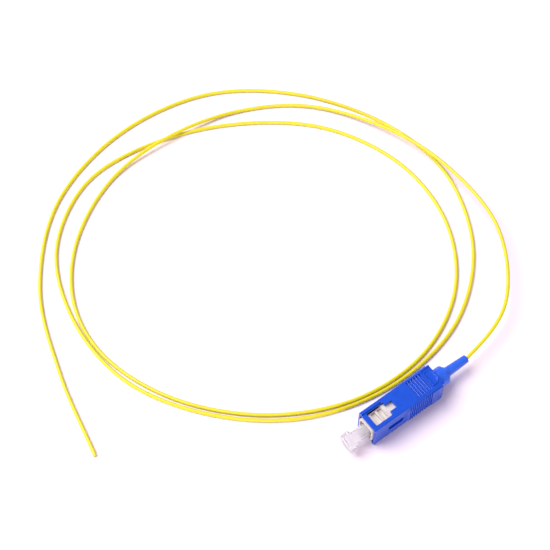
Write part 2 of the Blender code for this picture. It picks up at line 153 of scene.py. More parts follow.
def makeTurningMarks():
    # rings round the plug's axis, as turning and plating leave them
    tree, given, result = newGroup(
        "turningMarks",
        "ShaderNodeTree",
        [
            ("Rings", "INPUT", "NodeSocketFloat", 4000.0),
            ("Rough Low", "INPUT", "NodeSocketFloat", 0.2),
            ("Rough High", "INPUT", "NodeSocketFloat", 0.35),
            ("Roughness", "OUTPUT", "NodeSocketFloat", None),
            ("Height", "OUTPUT", "NodeSocketFloat", None),
        ],
    )
    place = addNode(tree, "ShaderNodeTexCoord", (-900, 100))
    squeeze = addNode(tree, "ShaderNodeMapping", (-700, 100))
    setInputs(squeeze, {"Scale": (1.0, 0.02, 0.02)})  # drawn out round the axis, so that it reads as rings
    join(tree, place.outputs["Object"], squeeze.inputs["Vector"])
    rings = addNode(tree, "ShaderNodeTexNoise", (-450, 100))
    setInputs(rings, {"Detail": 4.0})
    join(tree, squeeze.outputs["Vector"], rings.inputs["Vector"])
    join(tree, given.outputs["Rings"], rings.inputs["Scale"])
    rough = addNode(tree, "ShaderNodeMapRange", (-100, 100))
    join(tree, rings.outputs["Fac"], rough.inputs["Value"])
    join(tree, given.outputs["Rough Low"], rough.inputs["To Min"])
    join(tree, given.outputs["Rough High"], rough.inputs["To Max"])
    join(tree, rough.outputs["Result"], result.inputs["Roughness"])
    join(tree, rings.outputs["Fac"], result.inputs["Height"])
    return tree


mouldGrain = makeMouldGrain()
turningMarks = makeTurningMarks()


def newMaterial(name):
    material = bpy.data.materials.new(name)
    material.use_nodes = True
    return material, material.node_tree, material.node_tree.nodes["Principled BSDF"]


def grainNode(tree, look):
    grain = addNode(tree, "ShaderNodeGroup", (-500, 250), node_tree=mouldGrain)
    colours = {"Base": (*look["color"], 1.0), "Shade": (*look["shade"], 1.0)}
    setInputs(grain, {"Scale": look["grain"], **colours})
    return grain


def bumpNode(tree, look, height):
    bump = addNode(tree, "ShaderNodeBump", (-250, -150))
    setInputs(bump, {"Strength": look["bump"], "Distance": look["depth"]})
    join(tree, height, bump.inputs["Height"])
    return bump


def moulded(name, look):
    # a moulded plastic or rubber with the shared grain
    material, tree, shader = newMaterial(name)
    grain = grainNode(tree, look)
    setInputs(grain, {"Rough Low": look["rough"][0], "Rough High": look["rough"][1]})
    bump = bumpNode(tree, look, grain.outputs["Height"])
    join(tree, grain.outputs["Color"], shader.inputs["Base Color"])
    join(tree, grain.outputs["Roughness"], shader.inputs["Roughness"])
    join(tree, bump.outputs["Normal"], shader.inputs["Normal"])
    constants = {
        "IOR": look.get("ior", 1.5),
        "Subsurface Weight": look.get("soft", 0.0),
        "Subsurface Radius": (1.0, 0.9, 0.8),
        "Subsurface Scale": 0.0006,
        "Transmission Weight": look.get("clear", 0.0),
        "Coat Weight": look.get("coat", 0.0),
        "Coat Roughness": 0.12,
        "Sheen Weight": look.get("sheen", 0.0),
    }
    setInputs(shader, constants)
    return material


def turnedMetal(name, look):
    # a turned and plated metal, or drawn wire
    material, tree, shader = newMaterial(name)
    marks = addNode(tree, "ShaderNodeGroup", (-500, -50), node_tree=turningMarks)
    setInputs(marks, {"Rings": look["rings"], "Rough Low": look["rough"][0], "Rough High": look["rough"][1]})
    grain = grainNode(tree, look)
    bump = bumpNode(tree, look, marks.outputs["Height"])
    join(tree, grain.outputs["Color"], shader.inputs["Base Color"])
    join(tree, marks.outputs["Roughness"], shader.inputs["Roughness"])
    join(tree, bump.outputs["Normal"], shader.inputs["Normal"])
    setInputs(shader, {"Metallic": 1.0})
    return material


# each finish has two tones and two roughnesses that the grain mixes, the grain's scale, and the bump's strength
# and depth
finishes = {
    "bluePlastic": {
        "color": (0.003, 0.076, 0.59),
        "shade": (0.002, 0.066, 0.52),
        "rough": (0.18, 0.28),
        "grain": 700.0,
        "bump": 0.12,
        "depth": 0.00002,
        "soft": 0.08,
    },
    "blueRubber": {
        "color": (0.018, 0.130, 0.78),
        "shade": (0.014, 0.112, 0.68),
        "rough": (0.30, 0.42),
        "grain": 800.0,
        "bump": 0.25,
        "depth": 0.00003,
        "soft": 0.12,
        "sheen": 0.1,
    },
    "whitePlastic": {
        "color": (0.71, 0.66, 0.62),
        "shade": (0.65, 0.59, 0.54),
        "rough": (0.22, 0.34),
        "grain": 500.0,
        "bump": 0.12,
        "depth": 0.00002,
        "soft": 0.1,
    },
    "clearPlastic": {
        "color": (0.90, 0.88, 0.90),
        "shade": (0.83, 0.81, 0.84),
        "rough": (0.12, 0.22),
        "grain": 260.0,
        "bump": 0.04,
        "depth": 0.00001,
        "ior": 1.4,
        "clear": 0.72,
    },
    "yellowBuffer": {
        "color": (0.74, 0.66, 0.012),
        "shade": (0.72, 0.62, 0.009),
        "rough": (0.30, 0.42),
        "grain": 250.0,
        "bump": 0.08,
        "depth": 0.00001,
        "soft": 0.35,
    },
    "fibreGlass": {
        "color": (0.86, 0.88, 0.90),
        "shade": (0.76, 0.80, 0.84),
        "rough": (0.05, 0.12),
        "grain": 900.0,
        "bump": 0.05,
        "depth": 0.00001,
        "coat": 0.5,
    },
    "ceramic": {
        "color": (0.90, 0.89, 0.86),
        "shade": (0.85, 0.84, 0.80),
        "rough": (0.05, 0.12),
        "grain": 900.0,
        "bump": 0.04,
        "depth": 0.00001,
        "coat": 0.6,
        "soft": 0.1,
    },
}
metals = {
    "nickel": {
        "color": (0.68, 0.66, 0.61),
        "shade": (0.58, 0.56, 0.52),
        "rough": (0.18, 0.34),
        "rings": 5000.0,
        "grain": 600.0,
        "bump": 0.25,
        "depth": 0.00002,
    },
    "springSteel": {
        "color": (0.60, 0.60, 0.61),
        "shade": (0.48, 0.48, 0.50),
        "rough": (0.20, 0.32),
        "rings": 2500.0,
        "grain": 900.0,
        "bump": 0.15,
        "depth": 0.00002,
    },
}
materials = {name: moulded(name, look) for name, look in finishes.items()}
materials.update({name: turnedMetal(name, look) for name, look in metals.items()})
print("materials made")


# Mesh helpers, in millimetres
cutPast = {"face": 0.5, "end": 1.0}  # how far a cutting block reaches past a face, or past the end of a piece


def meshFrom(name, verts, faces):
    mesh = bpy.data.meshes.new(name)
    mesh.from_pydata([tuple(v) for v in verts], [], faces)
    return tidied(mesh)


def tidied(mesh, apart=0.00002):
    # doubles merged, then faces turned outwards
    build = bmesh.new()
    build.from_mesh(mesh)
    bmesh.ops.remove_doubles(build, verts=build.verts, dist=apart)
    bmesh.ops.recalc_face_normals(build, faces=build.faces)
    build.to_mesh(mesh)
    build.free()
    return mesh


def arc(centre, radius, start, end, steps=6):
    turns = [math.radians(start + (end - start) * step / steps) for step in range(steps + 1)]
    return [(centre[0] + radius * math.cos(turn), centre[1] + radius * math.sin(turn)) for turn in turns]


def roundedOutline(low, high, radii, steps=5):
    # a rectangle, anticlockwise from its lower left corner, with one radius for each corner
    (left, bottom), (right, top) = low, high
    if not isinstance(radii, (list, tuple)):
        radii = [radii] * 4
    corners = [
        (left, bottom, 1, 1, 180),
        (right, bottom, -1, 1, 270),
        (right, top, -1, -1, 0),
        (left, top, 1, -1, 90),
    ]
    points = []
    for (x, y, sideX, sideY, start), radius in zip(corners, radii):
        points += arc((x + sideX * radius, y + sideY * radius), radius, start, start + 90, steps)
    return points


def loft(name, axis, sections):
    # a closed solid through outlines of one point count, each at its place along the axis
    order = {
        "x": lambda a, b, place: (place, a, b),
        "y": lambda a, b, place: (a, place, b),
        "z": lambda a, b, place: (a, b, place),
    }[axis]
    verts, faces = [], []
    count = len(sections[0][1])
    for place, outline in sections:
        verts += [order(a, b, place) for a, b in outline]
    for ring in range(len(sections) - 1):
        start = ring * count
        for point in range(count):
            after = (point + 1) % count
            faces.append((start + point, start + after, start + count + after, start + count + point))
    last = (len(sections) - 1) * count
    faces += [tuple(range(count)), tuple(range(last, last + count))]  # both ends
    return meshFrom(name, verts, faces)


def lathe(name, profile, steps=96):
    # a profile of (x, radius) turned about the plug's axis; it closes on itself unless it meets the axis
    closed = min(radius for _, radius in profile) > 0
    verts, faces = [], []
    for x, radius in profile:
        for step in range(steps):
            angle = 2 * math.pi * step / steps
            verts.append((x, radius * math.cos(angle), radius * math.sin(angle)))
    rings = len(profile)
    for ring in range(rings if closed else rings - 1):
        start, second = ring * steps, (ring + 1) % rings * steps
        for step in range(steps):
            after = (step + 1) % steps
            faces.append((start + step, start + after, second + after, second + step))
    return meshFrom(name, verts, faces)


def block(name, xSpan, ySpan, zSpan, corner=0.0, axis="z", steps=4):
    # a box whose edges along one axis are rounded
    spans = {"x": (ySpan, zSpan, xSpan), "y": (xSpan, zSpan, ySpan), "z": (xSpan, ySpan, zSpan)}[axis]
    (left, right), (bottom, top), (start, end) = spans
    radius = max(corner, 0.0001)  # a square corner keeps a hair of a radius
    outline = roundedOutline((left, bottom), (right, top), radius, steps if corner else 1)
    return loft(name, axis, [(start, outline), (end, outline)])


def across(half):
    # a span with the plug's axis in its middle
    return -half, half


def mirrored(mesh, axis):
    scale = [-1 if letter == axis else 1 for letter in "xyz"]
    copy = mesh.copy()
    copy.transform(Matrix.Diagonal((*scale, 1)))
    copy.flip_normals()
    return copy


def bothSides(operation, mesh, axis):
    # the same boolean step with a mesh and with its mirror image
    return [(operation, mesh), (operation, mirrored(mesh, axis))]


def merged(name, meshes):
    whole = bpy.data.meshes.new(name)
    build = bmesh.new()
    for mesh in meshes:
        build.from_mesh(mesh)
    build.to_mesh(whole)
    build.free()
    return whole


def linked(mesh):
    item = bpy.data.objects.new(mesh.name, mesh)
    scene.collection.objects.link(item)
    return item


def baked(item, extras=()):
    # the evaluated mesh of a helper object, which then goes
    view = bpy.context.evaluated_depsgraph_get()
    mesh = bpy.data.meshes.new_from_object(item.evaluated_get(view))
    for other in [item, *extras]:
        bpy.data.objects.remove(other, do_unlink=True)
    return mesh


def carved(mesh, steps):
    # boolean steps of ("DIFFERENCE" or "UNION", mesh), in their order
    item = linked(mesh)
    extras = []
    for number, (operation, tool) in enumerate(steps):
        other = linked(tool)
        extras.append(other)
        change = item.modifiers.new(f"step{number}", "BOOLEAN")
        change.operation = operation
        change.solver = "EXACT"
        change.object = other
    return tidied(baked(item, extras), 0.0005)  # the cuts leave slivers, so doubles are looked for further apart


def softened(mesh, width, angle=38):
    # rounded edges with even shading
    item = linked(mesh)
    item.data.shade_smooth()
    edge = item.modifiers.new("edges", "BEVEL")
    edge.width = width
    edge.segments = 3
    edge.limit_method = "ANGLE"
    edge.angle_limit = math.radians(angle)
    edge.use_clamp_overlap = True
    edge.miter_outer = "MITER_ARC"
    shading = item.modifiers.new("shading", "WEIGHTED_NORMAL")
    shading.mode = "FACE_AREA"
    shading.weight = 60
    shading.keep_sharp = True
    return baked(item)


def finished(name, mesh, material, body, nodes=(), sharp=None):
    # one named piece in its place in the frame; sharp is the least angle of an edge that isn't shaded smooth
    mesh.name = name
    mesh.transform(Matrix.Scale(mm, 4) @ Matrix.Translation(plugZero))
    mesh.materials.clear()
    mesh.materials.append(materials[material])
    mesh.polygons.foreach_set("material_index", [0] * len(mesh.polygons))  # a cut face may name another slot
    if sharp is not None:
        mesh.shade_smooth()
        mesh.set_sharp_from_angle(angle=math.radians(sharp))
    item = linked(mesh)
    item.name = name
    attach(item, body)
    if nodes:
        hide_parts(*nodes)
    return item


# Geometry Nodes: a row of equal pieces, and a wire coil
def makeRowTree():
    tree, given, result = newGroup(
        "evenRow",
        "GeometryNodeTree",
        [
            ("Geometry", "INPUT", "NodeSocketGeometry", None),
            ("Count", "INPUT", "NodeSocketInt", 5),
            ("Step", "INPUT", "NodeSocketVector", (1.0, 0.0, 0.0)),
            ("Finish", "INPUT", "NodeSocketMaterial", None),
            ("Geometry", "OUTPUT", "NodeSocketGeometry", None),
        ],
    )
    line = addNode(tree, "GeometryNodeMeshLine", (-400, 100), mode="OFFSET")
    copies = addNode(tree, "GeometryNodeInstanceOnPoints", (-150, 100))
    real = addNode(tree, "GeometryNodeRealizeInstances", (100, 100))
    finish = addNode(tree, "GeometryNodeSetMaterial", (350, 100))
    join(tree, given.outputs["Count"], line.inputs["Count"])
    join(tree, given.outputs["Step"], line.inputs["Offset"])
    join(tree, line.outputs["Mesh"], copies.inputs["Points"])
    join(tree, given.outputs["Geometry"], copies.inputs["Instance"])
    join(tree, copies.outputs["Instances"], real.inputs["Geometry"])
    join(tree, real.outputs["Geometry"], finish.inputs["Geometry"])
    join(tree, given.outputs["Finish"], finish.inputs["Material"])
    join(tree, finish.outputs["Geometry"], result.inputs["Geometry"])
    return tree


def makeCoilTree():
    tree, given, result = newGroup(
        "wireCoil",
        "GeometryNodeTree",
        [
            ("Geometry", "INPUT", "NodeSocketGeometry", None),
            ("Turns", "INPUT", "NodeSocketFloat", 5.0),
            ("Radius", "INPUT", "NodeSocketFloat", 1.0),
            ("Length", "INPUT", "NodeSocketFloat", 3.0),
            ("Start", "INPUT", "NodeSocketFloat", 0.0),
            ("Wire", "INPUT", "NodeSocketFloat", 0.1),
            ("Finish", "INPUT", "NodeSocketMaterial", None),
            ("Geometry", "OUTPUT", "NodeSocketGeometry", None),
        ],
    )
    spiral = addNode(tree, "GeometryNodeCurveSpiral", (-450, 150))
    setInputs(spiral, {"Resolution": 40})
    wire = addNode(tree, "GeometryNodeCurvePrimitiveCircle", (-450, -200))
    setInputs(wire, {"Resolution": 12})
    along = addNode(tree, "GeometryNodeTransform", (-150, 150))
    setInputs(along, {"Rotation": (0.0, math.radians(90), 0.0)})
    start = addNode(tree, "ShaderNodeCombineXYZ", (-350, 0))
    sweep = addNode(tree, "GeometryNodeCurveToMesh", (50, 100))
    setInputs(sweep, {"Fill Caps": True})
    smooth = addNode(tree, "GeometryNodeSetShadeSmooth", (200, 100))
    real = addNode(tree, "GeometryNodeRealizeInstances", (350, 100))
    finish = addNode(tree, "GeometryNodeSetMaterial", (500, 100))
    join(tree, given.outputs["Turns"], spiral.inputs["Rotations"])
    join(tree, given.outputs["Radius"], spiral.inputs["Start Radius"])
    join(tree, given.outputs["Radius"], spiral.inputs["End Radius"])
    join(tree, given.outputs["Length"], spiral.inputs["Height"])
    join(tree, given.outputs["Start"], start.inputs["X"])
    join(tree, given.outputs["Wire"], wire.inputs["Radius"])
    join(tree, spiral.outputs["Curve"], along.inputs["Geometry"])
    join(tree, start.outputs["Vector"], along.inputs["Translation"])
    join(tree, along.outputs["Geometry"], sweep.inputs["Curve"])
    join(tree, wire.outputs["Curve"], sweep.inputs["Profile Curve"])
    join(tree, sweep.outputs["Mesh"], smooth.inputs["Geometry"])
    join(tree, smooth.outputs["Geometry"], real.inputs["Geometry"])
    join(tree, real.outputs["Geometry"], finish.inputs["Geometry"])
    join(tree, given.outputs["Finish"], finish.inputs["Material"])
    join(tree, finish.outputs["Geometry"], result.inputs["Geometry"])
    return tree


rowTree = makeRowTree()
coilTree = makeCoilTree()


def grown(mesh, tree, values):
    # a mesh run through one of the trees, with its named inputs set by their identifiers
    item = linked(mesh)
    change = item.modifiers.new(tree.name, "NODES")
    change.node_group = tree
    for socket in tree.interface.items_tree:
        if socket.item_type == "SOCKET" and socket.in_out == "INPUT" and socket.name in values:
            change[socket.identifier] = values[socket.name]
    return baked(item)


print("node trees made")


# Buffered fibre, on the same route as the solid's
fibreSizes = {
    "start": (37.1, 0.0, 4.5),
    "radius": 0.55,
    "length": 1041.7,
    "stepsPerSpan": 24,
    "glass": (0.0625, 0.1),  # radius, and how far it stands out of the cut
    "coating": (0.125, 0.06),
    "coatingEdge": 0.02,
    "glassInside": 0.5,
}
# x and y from the plug's zero point, and the height over the floor
fibreRoute = [
    (58.0, 6.8, 5.8), (73.4, 27.6, 6), (76.8, 53.8, 4.8), (72.5, 78.4, 2.5), (59.2, 101.4, 0.8),
    (38.8, 114.3, 0.7), (15.1, 118.3, 2.1), (-7.8, 116.5, 0.7), (-29.0, 104.2, 0.55), (-42.2, 85.9, 0.55),
    (-44.8, 64.3, 0.55), (-36.1, 41.0, 0.55), (-18.3, 21.6, 0.55), (5.1, 10.3, 0.55), (30.2, 10.1, 0.55),
    (52.0, 21.5, 0.55), (65.5, 42.4, 0.55), (67.6, 67.6, 0.55), (57.2, 92.3, 0.55), (35.9, 110.3, 0.55),
    (10.0, 120.2, 0.55), (-15.4, 120.0, 0.55), (-36.4, 104.6, 0.55), (-45.7, 79.9, 0.55), (-44.2, 54.0, 0.55),
    (-30.4, 30.6, 0.55), (-9.2, 13.9, 0.55), (17.0, 7.4, 0.55), (44.2, 12.1, 0.55), (65.7, 29.2, 0.55),
    (77.0, 55.5, 0.55), (73.8, 82.3, 0.55), (58.6, 108.4, 0.55), (34.4, 126.2, 0.55), (3.4, 129.7, 0.55),
    (-26.4, 119.3, 0.55), (-47.5, 96.4, 0.55), (-58.2, 68.6, 0.55), (-64.3, 40.7, 0.55),
]


def routePoints(sizes, route):
    # a smooth line through the route's points in metres, which starts along the plug
    points = [Vector((plugZero.x + x, plugZero.y + y, z)) for x, y, z in [sizes["start"], *route]]
    reach = (points[1] - points[0]).length
    line = [points[0] - Vector((reach, 0, 0)), *points, points[-1] * 2 - points[-2]]
    curve = []
    for a, b, c, d in zip(line, line[1:], line[2:], line[3:]):
        for step in range(sizes["stepsPerSpan"]):
            t = step / sizes["stepsPerSpan"]
            bent = 2 * b + (c - a) * t + (2 * a - 5 * b + 4 * c - d) * t**2 + (3 * b - a - 3 * c + d) * t**3
            curve.append(bent / 2)
    curve.append(points[-1])
    for point in curve:
        point.z = max(point.z, sizes["radius"])
    return [point * mm for point in curve]


def cutFace(sizes):
    # the cut end: the glass and its coating stand a hair out of the buffer
    glass, glassOut = sizes["glass"]
    coating, coatingOut = sizes["coating"]
    inside, edge = sizes["glassInside"], sizes["coatingEdge"]
    profile = [
        (-inside, 0.0),
        (-inside, coating),
        (coatingOut - edge, coating),
        (coatingOut, coating - edge),
        (coatingOut, glass),
        (glassOut, glass),
        (glassOut, 0.0),
    ]
    return lathe("cutFace", profile, steps=24)


def makeFibre(sizes, route):
    points = routePoints(sizes, route)
    data = bpy.data.curves.new("bufferedFibre", "CURVE")
    data.dimensions = "3D"
    data.bevel_depth = sizes["radius"] * mm
    data.bevel_resolution = 4
    data.use_fill_caps = True
    data.materials.append(materials["yellowBuffer"])
    line = data.splines.new("POLY")
    line.points.add(len(points) - 1)
    for spot, point in zip(line.points, points):
        spot.co = (*point, 1.0)
    line.use_smooth = True
    fibre = bpy.data.objects.new("bufferedFibre", data)
    scene.collection.objects.link(fibre)
    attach(fibre, "plug")
    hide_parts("fibre")
    end = (points[-1] - points[-2]).normalized()
    turn = end.to_track_quat("X", "Z").to_matrix().to_4x4()
    cut = cutFace(sizes)
    cut.transform(Matrix.Translation(-plugZero) @ Matrix.Translation(points[-1] * (1 / mm)) @ turn)
    face = finished("cutFace", cut, "fibreGlass", "plug", sharp=40)


makeFibre(fibreSizes, fibreRoute)
print("fibre laid")


# Sliding sleeve
sleeveSizes = {
    "length": 25.0,
    "halfWidth": 3.7,
    "halfHeight": 4.5,
    "corner": 0.5,
    "boreHalfHeight": 3.6,
    "boreCorner": 0.15,
    "frontBore": (3.1, 11.5),  # half width, and the place where it ends
    "rearBore": (3.2, 11.2),  # half width, and the place where it starts
    "lap": 0.3,  # how far one shape reaches into another
    "edge": 0.09,
}
gripSizes = {
    "start": 10.9,
    "end": 24.5,
    "ramp": 0.55,
    "top": 4.1,
    "baseHalf": 3.95,
    "topHalf": 3.6,
    "slope": ((0.7, 0.55), (0.9, 0.78), (1.0, 1.0)),  # share of the height, and of the slope reached there
    "corners": (2.0, 0.6, 0.6, 2.0),
    "ribs": 11,
    "ribStart": 12.76,
    "ribPitch": 0.78,
    "ribWidth": 0.42,
    "ribFloor": 3.74,
    "ribCrown": 0.12,
    "ribRoot": 0.15,  # how far a rib goes on under the floor
    "ribFoot": 0.02,  # what is left of its height at its ends
    "ribEnds": ((-1, 0.0), (-0.98, 0.35), (-0.89, 1.0)),  # place along the rib, and share of its height
    "pocketLead": 0.36,
    "pocketOver": 0.2,
}
windowSizes = {
    "start": 1.5,
    "wideEnd": 7.2,
    "wideHalf": 2.3,
    "narrowStart": 6.6,
    "narrowEnd": 9.5,
    "narrowHalf": 1.25,
    "corner": 0.22,
    "channelDepth": 0.45,
    "channelHalf": 2.6,
    "channelEnd": 6.7,
    "channelCorner": 0.15,
}
thumbSizes = {
    "grooveStart": 16.05,
    "groovePitch": 0.92,
    "grooveWidth": 0.48,
    "grooveDepth": 0.52,
    "grooves": 6,
    "grooveHalf": 2.85,
    "grooveCorner": 0.2,
    "ridgeRound": 0.19,
    "ridgeRoot": 0.15,
    "ridgeGap": 0.02,
    "padStart": 22.0,
    "padEnd": 24.65,
    "padHalf": 2.45,
    "padFrontCorner": 0.12,
    "padRearCorner": 1.8,
    "padCornerLoss": 0.6,  # of the rear corners, for each millimetre of inset
    "dish": ((0.1, 0.2), (0.12, -0.01), (0.19, -0.03), (0.27, -0.09), (0.4, -0.25), (0.5, -0.27)),  # inset, height
    "fieldLead": 0.35,
    "fieldHalf": 3.1,
    "fieldDepth": 0.24,
    "fieldCorner": 0.5,
}
keySizes = {"start": 1.0, "end": 10.4, "half": 1.2, "top": 4.7, "round": 0.2}
slotSizes = {"start": 5.0, "end": 10.4, "half": 1.1, "depth": 0.5, "corner": 0.25}


def gripMesh(sizes, sleeve):
    # the raised side grip, whose edges slope and whose front corners are wide rounds
    base = sleeve["halfWidth"]
    sections = [(base - sleeve["lap"], 0.0), (base, 0.0)]
    sections += [(base + (sizes["top"] - base) * up, share) for up, share in sizes["slope"]]
    rings = []
    for height, share in sections:
        half = sizes["baseHalf"] - (sizes["baseHalf"] - sizes["topHalf"]) * share
        front = sizes["start"] + sizes["ramp"] * share
        rings.append((height, roundedOutline((front, -half), (sizes["end"], half), sizes["corners"])))
    return loft("grip", "y", rings)


def ribMesh(sizes):
    # one upright rib with a rounded top, whose ends slope as the grip's long edges do
    half, crown = sizes["ribWidth"] / 2, sizes["ribCrown"]
    low = sizes["ribFloor"] - sizes["ribRoot"]
    foot = sizes["ribFloor"] + sizes["ribFoot"]
    farEnds = [(-place, share) for place, share in reversed(sizes["ribEnds"])]
    turns = [math.radians(angle) for angle in range(0, 181, 30)]
    sections = []
    for place, share in [*sizes["ribEnds"], *farEnds]:
        high = foot + (sizes["top"] - foot) * share
        top = [(half * math.cos(turn), high - crown + crown * math.sin(turn)) for turn in turns]
        sections.append((place * sizes["baseHalf"], [(-half, low), (half, low), *top]))
    return loft("rib", "z", sections)


def ridgeMesh(sizes, high):
    # one ridge between two thumb grooves, with a rounded top
    half, rounded = (sizes["groovePitch"] - sizes["grooveWidth"]) / 2, sizes["ridgeRound"]
    reach = sizes["grooveHalf"] - sizes["ridgeGap"]
    low = high - sizes["grooveDepth"] - sizes["ridgeRoot"]
    right = arc((half - rounded, high - rounded), rounded, 0, 90)
    left = arc((rounded - half, high - rounded), rounded, 90, 180)
    outline = [(-half, low), (half, low), *right, *left]
    return loft("ridge", "y", [(-reach, outline), (reach, outline)])


def padOutline(sizes, inset):
    low = (sizes["padStart"] + inset, -sizes["padHalf"] + inset)
    high = (sizes["padEnd"] - inset, sizes["padHalf"] - inset)
    front, rear = sizes["padFrontCorner"], sizes["padRearCorner"] - inset * sizes["padCornerLoss"]
    return roundedOutline(low, high, [front, rear, rear, front])


def faceCuts(sleeve, window, thumb):
    # what is cut out of the upper face: the latch window and the channel to it, the pocket that the ridges
    # stand in, the field round the thumb pad, and the pad's dish
    high = sleeve["halfHeight"]
    over = high + cutPast["face"]
    through = (sleeve["boreHalfHeight"] - sleeve["lap"], over)
    wide, narrow, corner = across(window["wideHalf"]), across(window["narrowHalf"]), window["corner"]
    grooveEnd = thumb["grooveStart"] + (thumb["grooves"] - 1) * thumb["groovePitch"] + thumb["grooveWidth"]
    cuts = [
        block("windowWide", (window["start"], window["wideEnd"]), wide, through, corner),
        block("windowNarrow", (window["narrowStart"], window["narrowEnd"]), narrow, through, corner),
        block(
            "channel",
            (-cutPast["end"], window["channelEnd"]),
            across(window["channelHalf"]),
            (high - window["channelDepth"], over),
            window["channelCorner"],
        ),
        block(
            "groovePocket",
            (thumb["grooveStart"], grooveEnd),
            across(thumb["grooveHalf"]),
            (high - thumb["grooveDepth"], over),
            thumb["grooveCorner"],
        ),
    ]
    field = block(
        "field",
        (thumb["padStart"] - thumb["fieldLead"], sleeve["length"] + cutPast["end"]),
        across(thumb["fieldHalf"]),
        (high - thumb["fieldDepth"], over),
        thumb["fieldCorner"],
    )
    outline = padOutline(thumb, 0.0)
    pad = loft("padCut", "z", [(high - cutPast["end"], outline), (high + cutPast["end"], outline)])
    fieldRoundPad = carved(field, [("DIFFERENCE", pad)])
    dish = loft("dish", "z", [(high + up, padOutline(thumb, inset)) for inset, up in reversed(thumb["dish"])])
    return [*cuts, fieldRoundPad, dish]


def makeShell(sleeve, grip, window, thumb, key, slot):
    half, high = sleeve["halfWidth"], sleeve["halfHeight"]
    body = block("sleeveShell", (0, sleeve["length"]), across(half), across(high), sleeve["corner"], "x")
    ribPocket = block(
        "ribPocket",
        (grip["ribStart"] - grip["pocketLead"], grip["ribStart"] + (grip["ribs"] - 1) * grip["ribPitch"]),
        (grip["ribFloor"], grip["top"] + cutPast["face"]),
        across(grip["baseHalf"] + grip["pocketOver"]),
        0.0,
        "y",
    )
    keyBlock = block(
        "key",
        (key["start"], key["end"]),
        (half - sleeve["lap"], key["top"]),
        across(key["half"]),
        key["round"],
        "x",
    )
    slotBlock = block(
        "slot",
        (slot["start"], slot["end"]),
        (-half - cutPast["face"], -half + slot["depth"]),
        across(slot["half"]),
        slot["corner"],
        "y",
    )
    steps = [
        *bothSides("UNION", gripMesh(grip, sleeve), "y"),
        ("UNION", keyBlock),
        *bothSides("DIFFERENCE", ribPocket, "y"),
        ("DIFFERENCE", slotBlock),
    ]
    frontHalf, frontEnd = sleeve["frontBore"]
    rearHalf, rearStart = sleeve["rearBore"]
    bores = [
        ("frontBore", (-cutPast["end"], frontEnd), frontHalf),
        ("rearBore", (rearStart, sleeve["length"] + cutPast["end"]), rearHalf),
    ]
    for name, span, wide in bores:
        bore = block(name, span, across(wide), across(sleeve["boreHalfHeight"]), sleeve["boreCorner"], "x")
        steps.append(("DIFFERENCE", bore))
    for cut in faceCuts(sleeve, window, thumb):
        steps += bothSides("DIFFERENCE", cut, "z")
    shell = softened(carved(body, steps), sleeve["edge"])
    finished("sleeveShell", shell, "bluePlastic", "sleeve", ["coupling_sleeve"])


def makeRows(name, mesh, first, count, pitch, axis):
    # an even row along the sleeve, and its mirror image on the other side
    mesh.transform(Matrix.Translation((first, 0, 0)))
    values = {"Count": count, "Step": (pitch, 0.0, 0.0), "Finish": materials["bluePlastic"]}
    row = grown(mesh, rowTree, values)
    both = merged(name, [row, mirrored(row, axis)])
    finished(name, both, "bluePlastic", "sleeve", sharp=32)


def makeRibsAndRidges(sleeve, grip, thumb):
    firstRib = grip["ribStart"] + grip["ribWidth"] / 2
    makeRows("gripRibs", ribMesh(grip), firstRib, grip["ribs"] - 1, grip["ribPitch"], "y")
    ridge = ridgeMesh(thumb, sleeve["halfHeight"])
    firstRidge = thumb["grooveStart"] + thumb["grooveWidth"] + (thumb["groovePitch"] - thumb["grooveWidth"]) / 2
    makeRows("thumbRidges", ridge, firstRidge, thumb["grooves"] - 1, thumb["groovePitch"], "z")


makeShell(sleeveSizes, gripSizes, windowSizes, thumbSizes, keySizes, slotSizes)
makeRibsAndRidges(sleeveSizes, gripSizes, thumbSizes)
print("sleeve made")


# Plug frame inside the sleeve
frameSizes = {
    "front": -0.4,
    "step": 6.2,
    "rear": 16.5,
    "noseHalfWidth": 2.8,
    "noseHalfHeight": 2.85,
    "bodyHalfWidth": 2.75,
    "bodyHalfHeight": 3.3,
    "corner": 0.8,
    "lap": 0.4,  # how far the nose reaches into the body
    "pocket": (2.6, 6.1),
    "pocketHalf": 1.75,
    "pocketFloor": 2.15,
    "pocketCorner": 0.2,
    "shoulderCut": ((1.6, 6.0), (2.2, 3.2), (0.9, 3.4)),
    "ridge": (4.0, 4.7),
    "ridgeTop": 3.0,
    "ridgeRoot": 0.2,
    "ridgeOver": 0.1,
    "ridgeCorner": 0.12,
    "noseBore": 2.0,
    "shoulder": (5.9, 6.7),
    "shoulderBore": 1.55,
    "rearBore": 2.3,
    "edge": 0.12,
    "mouth": {"half": 2.38, "corner": 0.9, "depth": 0.5, "out": 0.2},
}


